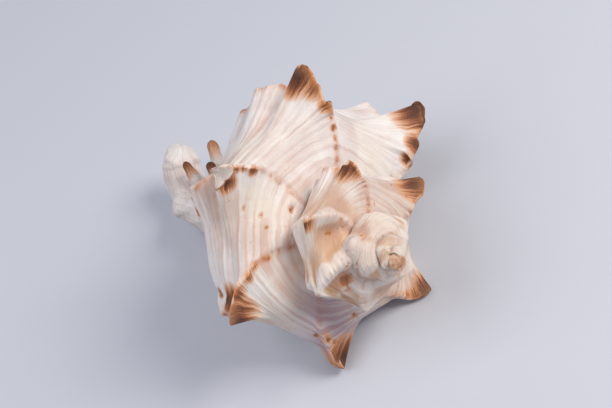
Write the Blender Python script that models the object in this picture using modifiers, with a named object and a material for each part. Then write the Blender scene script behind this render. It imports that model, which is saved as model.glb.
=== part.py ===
"""Murex shell, a spiny sea snail's shell in one solid piece. Metres, +Z up.

The shell is a tube coiled round an axis, every turn a larger copy of the one before.
Six times a turn the snail stopped growing and flared the edge of its shell into a varix,
a fan with one long spine at the shoulder and shorter ones below it.
The shell lies on two of those spines and on the siphonal canal, with its mouth down.
"""
import bmesh
import bpy
import numpy as np
from mathutils import Matrix, Vector

MM = 0.001

# Growth of the spiral. Lengths below are in millimetres at the size of the outer lip.
GROWTH_PER_RADIAN = 0.1047
LIP_ANGLE = 235.6
TURNS = 4.5
EVEN_VARIX_STEP = 60.0
OLD_VARICES = 15
# Angles in degrees between one varix and the one before it, from the outer lip back.
VARIX_STEPS = (56.3, 51.6, 57.5, 60.8, 62.5, 65.3, 63.6, 52.8, 49.6, 62.1, 70.5)
# How far each varix stands out, from the outer lip back. The old ones are worn down.
VARIX_STRENGTHS = (1, 1, 1, 1, 1, 1, 1, 1, 0.85, 0.8, 0.8, 0.75)
WORN_STRENGTH = 0.65

# Wall of the tube: radius and depth below the apex between two varices, radius and depth
# on a varix, how many degrees the varix leads there, and how sharply it flares.
OUTER_WALL = (
    (7.0, 33.5, 9.0, 32.5, 30.0, 2.0),
    (13.0, 31.8, 13.5, 31.6, 28.0, 2.0),
    (18.0, 31.8, 19.0, 32.0, 24.0, 2.0),
    (22.0, 32.6, 24.0, 32.0, 19.0, 2.0),
    (24.5, 33.6, 29.0, 31.6, 14.5, 2.2),
    (26.2, 34.6, 33.5, 30.3, 11.0, 2.6),
    (27.2, 36.0, 36.0, 31.4, 6.0, 2.6),
    (27.9, 37.6, 40.6, 31.0, 1.5, 3.2),
    (28.3, 39.0, 42.2, 33.2, -3.0, 3.2),
    (28.6, 40.4, 39.0, 36.6, 0.0, 3.0),
    (28.8, 42.0, 34.8, 40.8, 0.0, 2.8),
    (28.6, 44.0, 38.2, 44.6, -5.0, 2.4),
    (28.0, 47.0, 37.6, 48.0, -7.0, 2.4),
    (27.0, 50.5, 33.4, 51.2, -6.0, 2.6),
    (25.3, 53.5, 31.6, 54.8, -9.0, 2.4),
    (23.0, 57.0, 26.6, 58.6, -7.0, 2.4),
    (19.5, 61.0, 23.2, 63.4, -9.0, 2.4),
    (15.5, 65.0, 18.0, 68.0, -7.0, 2.2),
    (11.5, 69.0, 13.8, 73.0, -6.0, 2.4),
    (8.5, 73.0, 11.0, 76.0, -4.0, 2.2),
    (5.5, 76.5, 7.0, 79.5, 0.0, 2.0),
    (3.0, 79.0, 3.5, 81.0, 0.0, 2.0),
)
# The side of the tube that closes in on the axis, hidden by the older turns.
INNER_WALL = (
    (1.5, 76.0, 1.5, 77.0, 0.0, 2.0),
    (1.2, 60.0, 1.2, 60.0, 6.0, 2.0),
    (1.5, 45.0, 1.5, 45.0, 16.0, 2.0),
    (3.0, 37.0, 3.5, 37.0, 26.0, 2.0),
)
COLUMNS_PER_STATION = 3

# Shape of one varix along the growth, as shares of the step to the next one.
EDGE_SHARES = (0.0, 0.022, 0.04, 0.055, 0.075, 0.105, 0.135, 0.17)
EDGE_HEIGHTS = (1.0, 1.0, 0.96, 0.86, 0.74, 0.66, 0.62, 0.6)
FOOT_SHARE = EDGE_SHARES[-1]
FOOT_HEIGHT = EDGE_HEIGHTS[-1]
FOOT_FADE_POWER = 2.2
ROW_SHARES = (0.0, 0.03, 0.055, 0.085, 0.17, 0.33, 0.5, 0.66, 0.8, 0.9, 0.97)

# The outer lip: degrees past the last varix, and how much of its flare is left there.
LIP_ROWS = ((1.0, 1.0), (2.0, 0.9), (3.0, 0.45), (3.6, 0.0))

# The hollow that the snail lived in, as radius and depth round its section.
MOUTH = (
    (17.5, 34.2), (24.5, 36.8), (26.8, 41.0), (26.4, 46.0), (24.6, 51.0), (21.0, 56.0),
    (16.0, 61.0), (11.5, 65.0), (8.6, 67.0), (7.0, 65.0), (7.2, 58.0), (7.6, 50.0),
    (8.8, 44.0), (11.5, 39.0), (15.0, 35.5),
)
MOUTH_CENTRE = (16.5, 48.0)
MOUTH_POINTS = 30
# Degrees past the lip, and the share of the full section that is left there.
MOUTH_ROWS = ((12.0, 1.06), (4.0, 1.03), (-4.0, 1.0), (-20.0, 1.0), (-45.0, 0.98),
              (-75.0, 0.93), (-105.0, 0.82), (-130.0, 0.62), (-148.0, 0.35))

# The siphonal canal goes on down the axis and turns up: depth below the apex, offset, radius.
CANAL_PATH = ((38.0, 0.0, 3.6), (48.0, 0.0, 5.2), (60.0, 0.2, 6.2), (68.0, 0.8, 6.8),
              (76.0, 1.6, 6.4), (83.0, 4.2, 5.8), (87.0, 8.6, 5.2), (87.4, 12.6, 4.6), (86.6, 15.4, 3.4))
CANAL_TURN_ANGLE = 292.0
# The end of the canal from one varix earlier, which stands out beside it.
OLD_CANAL_PATH = ((56.0, 1.0, 3.2), (64.0, 2.6, 4.4), (72.0, 5.4, 4.6), (78.0, 8.6, 3.9), (80.5, 10.6, 2.8))
OLD_CANAL_TURN_ANGLE = 350.0
CANAL_RINGS = 26
CANAL_SIDES = 24
# The slit that runs down the canal on the side of the mouth.
SLIT_ANGLE = 50.0
SLIT_WIDTH = 20.0
SLIT_DEPTH = 0.55

# Pose: turned about its own axis, laid over, then turned on the surface it lies on.
SPIN = 213.5
AXIS_RISE = 18.0
HEADING = 298.0

# Spines on the canal: base and tip as angle, radius and depth, then the two thicknesses.
CANAL_SPINES = (
    ((296.0, 9.0, 65.5), (296.0, 19.3, 68.0), 2.4, 1.2),
    ((308.0, 5.0, 72.0), (306.0, 13.8, 78.2), 2.2, 1.0),
    ((312.0, 8.0, 63.0), (309.0, 15.6, 65.0), 2.2, 1.0),
)

VOXEL = 0.55 * MM
FACES = 9150
WELD_DISTANCE = 0.001 * MM
SHARP_ANGLE = 50.0
# The worn flats that the shell lies on are this deep.
FLAT_DEPTH = 0.4 * MM
GROUND_CUT = 200 * MM
SHELL_COLOUR = (0.86, 0.81, 0.75, 1.0)
SHELL_ROUGHNESS = 0.5


def smooth_loop(stations, places):
    """Points at the given places on the smooth closed curve through all the stations."""
    count = len(stations)
    start = np.floor(places).astype(int)
    along = (places - start)[:, None]
    before, here, after, later = (stations[(start + step) % count] for step in (-1, 0, 1, 2))
    return 0.5 * (2 * here + (after - before) * along
                  + (2 * before - 5 * here + 4 * after - later) * along ** 2
                  + (3 * here - before - 3 * after + later) * along ** 3)


def varix_turns():
    """Growth angle in radians of every varix, from the outer lip back, all zero or less."""
    steps = np.array(VARIX_STEPS + (EVEN_VARIX_STEP,) * OLD_VARICES)
    return -np.radians(np.concatenate([[0.0], np.cumsum(steps)]))


def flare(growth, power):
    """Share of the full flare for each growth angle and flare power.

    Past a varix the edge drops to its foot. From there the wall sinks on and rises again,
    by the flare power, to the next varix.
    """
    turns = varix_turns()
    strengths = np.array(VARIX_STRENGTHS + (WORN_STRENGTH,) * (OLD_VARICES + 1))
    count = np.interp(growth, turns[::-1], -np.arange(len(turns))[::-1])[:, None]
    last = np.floor(count)
    share = count - last
    last_strength = strengths[np.clip(-last, 0, len(strengths) - 1).astype(int)]
    next_strength = strengths[np.clip(-last - 1, 0, len(strengths) - 1).astype(int)]
    edge = last_strength * np.interp(share, EDGE_SHARES, EDGE_HEIGHTS)
    rise = np.clip((share - FOOT_SHARE) / (1 - FOOT_SHARE), 0, 1)
    ramp = next_strength * rise ** power + FOOT_HEIGHT * last_strength * (1 - rise) ** FOOT_FADE_POWER
    return np.where(share < FOOT_SHARE, edge, ramp)


def coil(growth, lead, radius, depth):
    """Points on the spiral: the section turns clockwise and swells with the growth angle."""
    turn = growth[:, None] + np.radians(lead)[None, :]
    size = MM * np.exp(GROWTH_PER_RADIAN * turn)
    angle = np.radians(LIP_ANGLE) - turn
    return np.stack([size * radius * np.cos(angle), size * radius * np.sin(angle), -size * depth], -1)


def tube_mesh(name, grid):
    """Closed mesh from rows of rings, with a fan of triangles over each end."""
    rows, columns, _ = grid.shape
    index = np.arange(rows * columns).reshape(rows, columns)
    beside = np.roll(index, -1, axis=1)
    quads = np.stack([index[:-1], beside[:-1], beside[1:], index[1:]], -1).reshape(-1, 4).tolist()
    first_pole = rows * columns
    last_pole = first_pole + 1
    fans = [(a, first_pole, b) for a, b in zip(index[0].tolist(), beside[0].tolist())]
    fans += [(b, last_pole, a) for a, b in zip(index[-1].tolist(), beside[-1].tolist())]
    points = np.concatenate([grid.reshape(-1, 3), [grid[0].mean(axis=0)], [grid[-1].mean(axis=0)]])
    mesh = bpy.data.meshes.new(name)
    mesh.from_pydata(points.tolist(), [], quads + fans)
    mesh.update()
    return mesh


def whorls_mesh():
    """The whole coiled tube with its varices, from the apex to the outer lip."""
    stations = np.array(OUTER_WALL + INNER_WALL)
    places = np.arange(0, len(stations), 1 / COLUMNS_PER_STATION)
    low_r, low_z, high_r, high_z, lead, power = smooth_loop(stations, places).T
    turns = varix_turns()[::-1]
    growth = (turns[:-1, None] + np.diff(turns)[:, None] * np.array(ROW_SHARES)).ravel()
    growth = growth[growth > -2 * np.pi * TURNS]
    share = flare(growth, power)
    lip_growth, lip_share = np.array(LIP_ROWS).T
    growth = np.concatenate([growth, [0.0], np.radians(lip_growth)])
    share = np.concatenate([share, np.ones((1, len(power))), lip_share[:, None] * np.ones(len(power))])
    radius = low_r + (high_r - low_r) * share
    depth = low_z + (high_z - low_z) * share
    return tube_mesh("whorls", coil(growth, lead, radius, depth))


def mouth_mesh():
    """The hollow behind the mouth: the same spiral with a smooth section that narrows inwards."""
    section = smooth_loop(np.array(MOUTH), np.arange(MOUTH_POINTS) * len(MOUTH) / MOUTH_POINTS)
    growth, share = np.array(MOUTH_ROWS).T
    radius = MOUTH_CENTRE[0] + (section[:, 0] - MOUTH_CENTRE[0]) * share[:, None]
    depth = MOUTH_CENTRE[1] + (section[:, 1] - MOUTH_CENTRE[1]) * share[:, None]
    return tube_mesh("mouth_hollow", coil(np.radians(growth), np.zeros(MOUTH_POINTS), radius, depth))


def shell_point(angle, radius, depth):
    """Point in millimetres at an angle round the axis, a radius from it and a depth below the apex."""
    turn = np.radians(angle)
    return Vector((radius * np.cos(turn), radius * np.sin(turn), -depth)) * MM


def horn_mesh(name, points, radii):
    """Round bar along a smooth curve through the points, thick and thin by the radii."""
    curve = bpy.data.curves.new(name, "CURVE")
    curve.dimensions = "3D"
    curve.resolution_u = 5
    curve.bevel_depth = MM
    curve.bevel_resolution = 3
    curve.use_fill_caps = True
    spline = curve.splines.new("BEZIER")
    spline.bezier_points.add(len(points) - 1)
    for knot, point, radius in zip(spline.bezier_points, points, radii):
        knot.co = point
        knot.radius = radius
        knot.handle_left_type = "AUTO"
        knot.handle_right_type = "AUTO"
    holder = bpy.data.objects.new(name, curve)
    bpy.context.collection.objects.link(holder)
    graph = bpy.context.evaluated_depsgraph_get()
    mesh = bpy.data.meshes.new_from_object(holder.evaluated_get(graph))
    bpy.data.objects.remove(holder)
    weld(mesh)
    return mesh


def weld(mesh):
    """Join the points that coincide and turn the faces outwards."""
    work = bmesh.new()
    work.from_mesh(mesh)
    bmesh.ops.remove_doubles(work, verts=work.verts, dist=WELD_DISTANCE)
    bmesh.ops.recalc_face_normals(work, faces=work.faces)
    work.to_mesh(mesh)
    work.free()


def smooth_line(stations, places):
    """Points at the given places on the smooth open curve through the stations."""
    ends = np.concatenate([2 * stations[:1] - stations[1:2], stations, 2 * stations[-1:] - stations[-2:-1]])
    return smooth_loop(ends, places + 1)


def canal_mesh(path, turn_angle):
    """A tube along a curve in one plane, its ring pinched in on one side by the slit."""
    stations = np.array(path)
    places = np.linspace(0, len(stations) - 1, CANAL_RINGS)
    depth, offset, radius = (smooth_line(stations, places) * MM).T
    turn = np.radians(turn_angle)
    outward = np.array([np.cos(turn), np.sin(turn), 0.0])
    sideways = np.array([-np.sin(turn), np.cos(turn), 0.0])
    down = np.array([0.0, 0.0, -1.0])
    centre = offset[:, None] * outward + depth[:, None] * down
    heading = np.gradient(centre, axis=0)
    heading /= np.linalg.norm(heading, axis=1)[:, None]
    across = np.cross(sideways, heading)
    round_ring = np.linspace(0, 2 * np.pi, CANAL_SIDES, endpoint=False)
    from_slit = np.degrees(np.angle(np.exp(1j * (round_ring - np.radians(SLIT_ANGLE)))))
    pinch = 1 - SLIT_DEPTH * np.exp(-(from_slit / SLIT_WIDTH) ** 2)
    ring = radius[:, None] * pinch
    grid = (centre[:, None, :]
            + (ring * np.cos(round_ring))[:, :, None] * across[:, None, :]
            - (ring * np.sin(round_ring))[:, :, None] * sideways)
    mesh = tube_mesh("canal", grid)
    weld(mesh)
    return mesh


def spine_mesh(spine):
    """A straight tapering spine on the canal."""
    base, tip, base_radius, tip_radius = spine
    return horn_mesh("canal_spine", [shell_point(*base), shell_point(*tip)], [base_radius, tip_radius])


def joined_object(name, meshes, collection):
    """One object whose mesh holds all the given closed meshes."""
    work = bmesh.new()
    for mesh in meshes:
        work.from_mesh(mesh)
        bpy.data.meshes.remove(mesh)
    joined = bpy.data.meshes.new(name)
    work.to_mesh(joined)
    work.free()
    item = bpy.data.objects.new(name, joined)
    collection.objects.link(item)
    return item


def pose():
    """Turn from the shell's own axis to how it lies: spun, laid over and turned on the spot."""
    return (Matrix.Rotation(np.radians(HEADING), 4, "Z")
            @ Matrix.Rotation(np.radians(90.0 - AXIS_RISE), 4, "Y")
            @ Matrix.Rotation(np.radians(SPIN), 4, "Z"))


def evaluated_copy(item):
    """Replace an object's mesh with what its modifiers make of it."""
    graph = bpy.context.evaluated_depsgraph_get()
    mesh = bpy.data.meshes.new_from_object(item.evaluated_get(graph))
    item.modifiers.clear()
    item.data = mesh
    return item


def shell_material():
    """Chalky white shell."""
    material = bpy.data.materials.new("white_shell")
    material.use_nodes = True
    shader = material.node_tree.nodes["Principled BSDF"]
    shader.inputs["Base Color"].default_value = SHELL_COLOUR
    shader.inputs["Roughness"].default_value = SHELL_ROUGHNESS
    shader.inputs["Metallic"].default_value = 0.0
    return material


def new_collection(name):
    collection = bpy.data.collections.new(name)
    bpy.context.scene.collection.children.link(collection)
    return collection


def cut(item, cutter):
    """Take the cutter away from the object, exactly."""
    change = item.modifiers.new("cut_" + cutter.name, "BOOLEAN")
    change.operation = "DIFFERENCE"
    change.solver = "EXACT"
    change.object = cutter
    cutter.hide_render = True
    cutter.display_type = "WIRE"


def build():
    """The shell: fused from its tube, canal and spines, laid down, hollowed and flattened below."""
    for item in list(bpy.data.objects):
        bpy.data.objects.remove(item)
    parts = new_collection("murex_shell")
    cutters = new_collection("cutters")

    canals = [canal_mesh(CANAL_PATH, CANAL_TURN_ANGLE), canal_mesh(OLD_CANAL_PATH, OLD_CANAL_TURN_ANGLE)]
    spines = [spine_mesh(spine) for spine in CANAL_SPINES]
    shell = joined_object("murex_shell", [whorls_mesh()] + canals + spines, parts)
    shell.data.transform(pose())
    mouth = joined_object("mouth_hollow", [mouth_mesh()], cutters)
    mouth.data.transform(pose())

    fuse = shell.modifiers.new("fuse", "REMESH")
    fuse.mode = "VOXEL"
    fuse.voxel_size = VOXEL
    evaluated_copy(shell)
    thin = shell.modifiers.new("thin", "DECIMATE")
    thin.ratio = FACES / (2 * len(shell.data.polygons))
    evaluated_copy(shell)
    shell.data.shade_smooth()
    shell.data.set_sharp_from_angle(angle=np.radians(SHARP_ANGLE))

    points = np.array([corner.co for corner in shell.data.vertices])
    low, high = points.min(axis=0), points.max(axis=0)
    centre = (low + high) / 2
    shift = Matrix.Translation((-centre[0], -centre[1], -low[2] - FLAT_DEPTH))
    shell.data.transform(shift)
    mouth.data.transform(shift)
    bpy.ops.mesh.primitive_cube_add(size=1.0)
    ground = bpy.context.object
    ground.name = "ground_cut"
    ground.data.transform(Matrix.Translation((0, 0, -GROUND_CUT / 2)) @ Matrix.Scale(GROUND_CUT, 4))
    for holder in ground.users_collection:
        holder.objects.unlink(ground)
    cutters.objects.link(ground)
    cut(shell, mouth)
    cut(shell, ground)
    shell.data.materials.append(shell_material())
    apex = bpy.data.objects.new("apex", None)
    apex.location = shift @ pose() @ Vector((0, 0, 0))
    apex.empty_display_size = MM
    parts.objects.link(apex)
    print("apex at", [round(value / MM, 2) for value in apex.location], "mm")


build()
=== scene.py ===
# %% [markdown]
# # A murex shell
# A murex is a sea snail. Its shell is one piece of chalk that grew at its open edge, a coiled
# tube with a fan of spines about every sixth of a turn.
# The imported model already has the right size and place, but only a few thousand flat faces.
# This lesson grows the same shell again with fine numpy grids, from the same rules of growth,
# and then paints it. Lengths of the shell are in millimetres at the size of its newest edge.

import bpy
import numpy as np
from mathutils import Matrix, Vector


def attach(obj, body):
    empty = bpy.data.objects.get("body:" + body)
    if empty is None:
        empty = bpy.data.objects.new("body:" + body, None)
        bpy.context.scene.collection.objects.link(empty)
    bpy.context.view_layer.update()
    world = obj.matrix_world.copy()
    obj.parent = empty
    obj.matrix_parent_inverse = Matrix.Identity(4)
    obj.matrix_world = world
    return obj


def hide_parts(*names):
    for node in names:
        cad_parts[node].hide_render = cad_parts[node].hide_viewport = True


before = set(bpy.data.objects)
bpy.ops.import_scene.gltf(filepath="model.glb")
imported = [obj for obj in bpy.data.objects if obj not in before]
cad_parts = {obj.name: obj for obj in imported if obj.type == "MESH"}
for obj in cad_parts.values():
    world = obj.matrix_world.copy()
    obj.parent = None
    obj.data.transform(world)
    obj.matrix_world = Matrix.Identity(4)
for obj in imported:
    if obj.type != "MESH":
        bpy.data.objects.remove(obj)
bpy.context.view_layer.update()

MM = 0.001
NODE = "murex_shell"

# %% [markdown]
# ## The spiral
# A snail makes every turn a fixed share larger than the turn before, so the shell is the same
# shape at every age. A spiral like that could be drawn as a curve and swept, but then its
# section would not swell with it. Here a point is given by its growth angle, its radius from
# the axis and its depth below the apex, and one exponential sets the size for all three.
# The tips seen on a real shell are not evenly spaced, so the last eleven steps are its own.

# %% Growth and the steps between the fans
GROWTH_PER_RADIAN = 0.1047
LIP_ANGLE = 235.6
TURNS = 4.5
EVEN_STEP = 60.0
OLD_FANS = 15
FAN_STEPS = (56.3, 51.6, 57.5, 60.8, 62.5, 65.3, 63.6, 52.8, 49.6, 62.1, 70.5)
fan_growth = -np.radians(np.concatenate([[0.0], np.cumsum(FAN_STEPS + (EVEN_STEP,) * OLD_FANS)]))


def coil(turn, radius, depth):
    """Points on the spiral: size is e to the growth rate times the turn, the angle runs clockwise."""
    size = MM * np.exp(GROWTH_PER_RADIAN * turn)
    angle = np.radians(LIP_ANGLE) - turn
    return np.stack([size * radius * np.cos(angle), size * radius * np.sin(angle), -size * depth], -1)


print("one whole turn back the shell has", round(np.exp(-2 * np.pi * GROWTH_PER_RADIAN), 3), "of its size")

# %% [markdown]
# ## The section of the tube
# Cut across, the wall has a ramp from the seam with the older turn out to the shoulder, the
# shoulder with its long spine, a bulging side with lower spines, and a base that runs in to the
# canal. Each station says where that place of the wall is between two fans and where it is on a
# fan, how many degrees the fan leads there, and how sharply it flares. A smooth closed curve
# through the stations gives the section as finely as the mesh needs.

# %% Stations round the section
# Radius and depth between fans, radius and depth on a fan, lead in degrees, power of the flare.
OUTER_WALL = (
    (7.0, 33.5, 9.0, 32.5, 30.0, 2.0),
    (13.0, 31.8, 13.5, 31.6, 28.0, 2.0),
    (18.0, 31.8, 19.0, 32.0, 24.0, 2.0),
    (22.0, 32.6, 24.0, 32.0, 19.0, 2.0),
    (24.5, 33.6, 29.0, 31.6, 14.5, 2.2),
    (26.2, 34.6, 31.2, 30.6, 11.0, 2.8),
    (27.2, 36.0, 35.6, 31.4, 6.0, 3.2),
    (27.9, 37.6, 40.0, 31.6, 1.5, 3.6),
    (28.3, 39.0, 43.0, 33.4, -3.0, 3.6),
    (28.6, 40.4, 38.6, 36.6, 0.0, 3.4),
    (28.8, 42.0, 37.0, 40.8, 0.0, 3.0),
    (28.6, 44.0, 38.2, 44.6, -5.0, 2.4),
    (28.0, 47.0, 37.6, 48.0, -7.0, 2.4),
    (27.0, 50.5, 33.4, 51.2, -6.0, 2.6),
    (25.3, 53.5, 31.6, 54.8, -9.0, 2.4),
    (23.0, 57.0, 26.6, 58.6, -7.0, 2.4),
    (19.5, 61.0, 23.2, 63.4, -9.0, 2.4),
    (15.5, 65.0, 18.0, 68.0, -7.0, 2.2),
    (11.5, 69.0, 13.8, 73.0, -6.0, 2.4),
    (8.5, 73.0, 11.0, 76.0, -4.0, 2.2),
    (5.5, 76.5, 7.0, 79.5, 0.0, 2.0),
    (3.0, 79.0, 3.5, 81.0, 0.0, 2.0),
)
INNER_WALL = (
    (1.5, 76.0, 1.5, 77.0, 0.0, 2.0),
    (1.2, 60.0, 1.2, 60.0, 6.0, 2.0),
    (1.5, 45.0, 1.5, 45.0, 16.0, 2.0),
    (3.0, 37.0, 3.5, 37.0, 26.0, 2.0),
)
SPINE_STATION = 8.0
OUTER_COLUMNS = 11
INNER_COLUMNS = 4


def cubic(before, here, after, later, along):
    """Points on a smooth curve from here to after, steered by the points before and later."""
    return 0.5 * (2 * here + (after - before) * along
                  + (2 * before - 5 * here + 4 * after - later) * along ** 2
                  + (3 * here - before - 3 * after + later) * along ** 3)


def smooth_loop(points, places):
    """Points on the closed curve through all the given ones: a cubic between each two."""
    start = np.floor(places).astype(int)
    around = (points[(start + step) % len(points)] for step in (-1, 0, 1, 2))
    return cubic(*around, (places - start)[:, None])


stations = np.array(OUTER_WALL + INNER_WALL)
outer_end = len(OUTER_WALL) - 1
section = np.concatenate([np.arange(0, outer_end, 1 / OUTER_COLUMNS),
                          np.arange(outer_end, len(stations), 1 / INNER_COLUMNS)])
low_radius, low_depth, high_radius, high_depth, lead, power = smooth_loop(stations, section).T
print(len(stations), "stations,", len(section), "columns round the tube")

# %% [markdown]
# ## Rows along the growth
# The surface changes fast at the edge of a fan and slowly between fans. Even rows that are fine
# enough for the edges would waste most of the mesh between them, so rows crowd at the edges. Old
# turns are small, so they get fewer rows.

# %% Rows from the apex to the newest edge
YOUNG_ROWS = (0.0, 0.012, 0.024, 0.04, 0.055, 0.075, 0.1, 0.135, 0.17, 0.23, 0.3, 0.38, 0.46, 0.54,
              0.61, 0.68, 0.74, 0.8, 0.85, 0.89, 0.925, 0.955, 0.975, 0.99)
MIDDLE_ROWS = (0.0, 0.03, 0.055, 0.085, 0.12, 0.17, 0.25, 0.35, 0.45, 0.55, 0.65, 0.74, 0.82, 0.89,
               0.94, 0.975)
OLD_ROWS = (0.0, 0.06, 0.17, 0.33, 0.5, 0.66, 0.8, 0.92)
YOUNG_FANS = 7
MIDDLE_FANS = 12


def growth_rows():
    """Growth angle of every row, oldest first, and the step between fans that it lies in."""
    rows = []
    for fan in range(len(fan_growth) - 1, 0, -1):
        shares = YOUNG_ROWS if fan <= YOUNG_FANS else MIDDLE_ROWS if fan <= MIDDLE_FANS else OLD_ROWS
        rows.append(fan_growth[fan] + (fan_growth[fan - 1] - fan_growth[fan]) * np.array(shares))
    rows = np.concatenate(rows + [[0.0]])
    return rows[rows > -2 * np.pi * TURNS]


growth = growth_rows()
print(len(growth), "rows of growth,", 2 * len(growth) * len(section), "triangles")

# %% [markdown]
# ## How a fan flares
# After a fan was finished the snail stepped back and grew on, so the wall drops off steeply on
# the young side of each fan and then climbs in a long slope to the next one. The slope itself is
# smooth; spines and notches stand out only close to the edge. So the extra reach of a fan is
# split in two: a blurred copy that rises slowly, and the rest, which rises late and steeply.
# Sand and age have worn the fans of the spire to low ridges, so wear rounds them.

# %% Broad reach and detail
BLUR_STATIONS = 2.2
outer_index = np.arange(len(OUTER_WALL))
blur = np.exp(-((outer_index[:, None] - outer_index) / BLUR_STATIONS) ** 2)
blur /= blur.sum(axis=1, keepdims=True)
extra = np.zeros((len(stations), 2))
extra[:len(OUTER_WALL)] = blur @ (stations[:len(OUTER_WALL), 2:4] - stations[:len(OUTER_WALL), 0:2])
broad_radius, broad_depth = smooth_loop(extra, section).T
fine_radius = high_radius - low_radius - broad_radius
fine_depth = high_depth - low_depth - broad_depth
print("spines and notches:", round(fine_radius.min(), 1), "to", round(fine_radius.max(), 1),
      "mm beyond the broad reach")

# %% Flare, strength and wear
FAN_STRENGTH = (1, 1, 1, 1, 1, 1, 1.03, 1, 0.9, 1.0, 0.8, 0.8)
WORN_STRENGTH = 0.65
FAN_WEAR = (0, 0, 0, 0, 0, 0, 0.05, 0.15, 0.5, 0.7, 0.7, 0.6)
OLD_WEAR = 0.9
EDGE_SHARES = (0.0, 0.022, 0.04, 0.055, 0.075, 0.105, 0.135, 0.17)
BROAD_EDGE = (1.0, 0.98, 0.9, 0.78, 0.64, 0.52, 0.46, 0.42)
FINE_EDGE = (1.0, 0.95, 0.75, 0.5, 0.25, 0.1, 0.03, 0.0)
FOOT_SHARE = EDGE_SHARES[-1]
FOOT_FADE = 2.2
FINE_POWER = 6.0
FINE_WORN_AWAY = 0.6
RIDGE_BASE = 0.45
RIDGE_AHEAD = 0.2
RIDGE_BEHIND = 0.34

fan_count = len(fan_growth)
strength = np.array(FAN_STRENGTH + (WORN_STRENGTH,) * (fan_count - len(FAN_STRENGTH)))
wear = np.array(FAN_WEAR + (OLD_WEAR,) * (fan_count - len(FAN_WEAR)))
# 0 at the newest edge and one less for every fan back, at each row.
count = np.interp(growth, fan_growth[::-1], -np.arange(fan_count)[::-1])
last_fan = np.clip(-np.floor(count).astype(int), 0, fan_count - 1)
next_fan = np.clip(last_fan - 1, 0, fan_count - 1)
share = (count - np.floor(count))[:, None]
fans_back = -count[:, None]
last_strength, next_strength = strength[last_fan][:, None], strength[next_fan][:, None]
worn = (wear[last_fan] + (wear[next_fan] - wear[last_fan]) * share[:, 0])[:, None]
rise = np.clip((share - FOOT_SHARE) / (1 - FOOT_SHARE), 0, 1)
on_edge = share < FOOT_SHARE


def broad_flare():
    """Share of the broad reach: a drop behind the edge, a fade, and a rise by each station's power."""
    slope = next_strength * rise ** power + BROAD_EDGE[-1] * last_strength * (1 - rise) ** FOOT_FADE
    sharp = np.where(on_edge, last_strength * np.interp(share, EDGE_SHARES, BROAD_EDGE), slope)
    base = RIDGE_BASE * (last_strength + (next_strength - last_strength) * share)
    ridge = (base + (last_strength - base) * np.exp(-(share / RIDGE_AHEAD) ** 2)
             + (next_strength - base) * np.exp(-((1 - share) / RIDGE_BEHIND) ** 2))
    return (1 - worn) * sharp + worn * ridge


fine_left = 1 - FINE_WORN_AWAY * worn
towards_next = rise ** FINE_POWER * fine_left
past_last = np.interp(share, EDGE_SHARES, FINE_EDGE) * on_edge * fine_left
broad = broad_flare()
fine = next_strength * towards_next + last_strength * past_last
print("broad reach from", round(broad.min(), 2), "to", round(broad.max(), 2))

# %% [markdown]
# ## No two fans alike
# The rules so far would make every fan the same. On the real shell each fan has its own notches,
# side spines and lobes, and its edge is not straight. They could be carved by hand, but a list
# keeps them within the rules of growth: which fan, at which station, how wide, and then how many
# millimetres outwards or how many degrees ahead. Fan 0 is the newest.

# %% Notches, side spines and lobes of single fans
# Fan, station, stations wide, millimetres outwards, millimetres down, power of its rise to the edge.
FAN_LOBES = (
    (0, 7.5, 0.4, 0.8, 0.0, 6), (0, 6.6, 0.35, 0.9, 0.0, 10), (0, 6.05, 0.2, -0.6, 0.0, 10),
    (0, 5.55, 0.25, 0.9, 0.0, 10), (0, 5.0, 0.3, -0.7, 0.0, 10), (0, 4.3, 0.35, 0.9, 0.0, 10),
    (0, 8.2, 1.0, -2.6, 0.0, 2.5), (0, 8.0, 0.7, 1.4, 0.0, 12), (0, 9.4, 0.8, -1.5, 0.0, 4),
    (0, 11.6, 1.3, -2.6, 0.0, 2), (0, 11.5, 0.7, 2.4, 0.0, 12), (0, 12.4, 0.4, -1.2, 0.0, 4),
    (1, 7.6, 0.7, 1.3, 0.0, 4), (1, 8.1, 0.4, -0.7, 0.0, 8), (1, 7.1, 0.35, 0.9, 0.0, 8),
    (1, 6.1, 0.3, 1.2, 0.0, 10), (1, 5.5, 0.25, -0.6, 0.0, 10), (1, 5.0, 0.35, 2.0, 0.0, 10),
    (1, 3.3, 0.3, 0.9, 0.0, 14), (1, 9.3, 0.7, -1.0, 0.0, 4), (1, 10.2, 0.5, 0.9, 0.0, 4),
    (1, 12.3, 0.5, -0.8, 0.0, 4),
    (3, 8.7, 1.5, -2.8, 0.0, 1.8), (3, 8.0, 0.7, 1.2, 0.0, 12), (3, 9.0, 0.9, 1.0, 3.2, 6),
    (3, 9.8, 0.8, -1.0, 0.0, 4), (3, 11.4, 1.0, -1.0, 0.0, 1.8), (3, 7.2, 0.4, 1.4, 0.0, 12),
    (4, 8.0, 0.8, 0.0, -1.0, 4), (4, 8.9, 0.6, 2.2, 0.0, 10), (4, 8.0, 0.3, -0.7, 0.0, 12),
    (5, 7.9, 1.3, -1.6, -5.0, 3),
    (6, 7.6, 0.9, 1.6, 0.0, 4), (6, 6.5, 0.4, 0.9, 0.0, 8), (6, 8.1, 0.4, -0.6, 0.0, 8),
    (6, 11.2, 0.5, 1.2, 0.0, 8),
)


def bell(place, width):
    """Bell curve over the stations round one of them."""
    return np.exp(-((section - place) / width) ** 2)


def lobes():
    """Millimetres outwards and down: the bell of each entry times its rise to the edge of its fan."""
    out = np.zeros((2, len(growth), len(section)))
    for fan, place, width, reach, drop, steepness in FAN_LOBES:
        weight = np.where((next_fan == fan)[:, None], rise ** steepness, 0)
        weight = weight + np.where((last_fan == fan)[:, None], past_last, 0)
        out += np.array((reach, drop))[:, None, None] * weight * bell(place, width)
    return out


lobe_out, lobe_down = lobes()
print(len(FAN_LOBES), "lobes and notches,", round(lobe_out.min(), 1), "to", round(lobe_out.max(), 1),
      "mm outwards")

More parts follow.
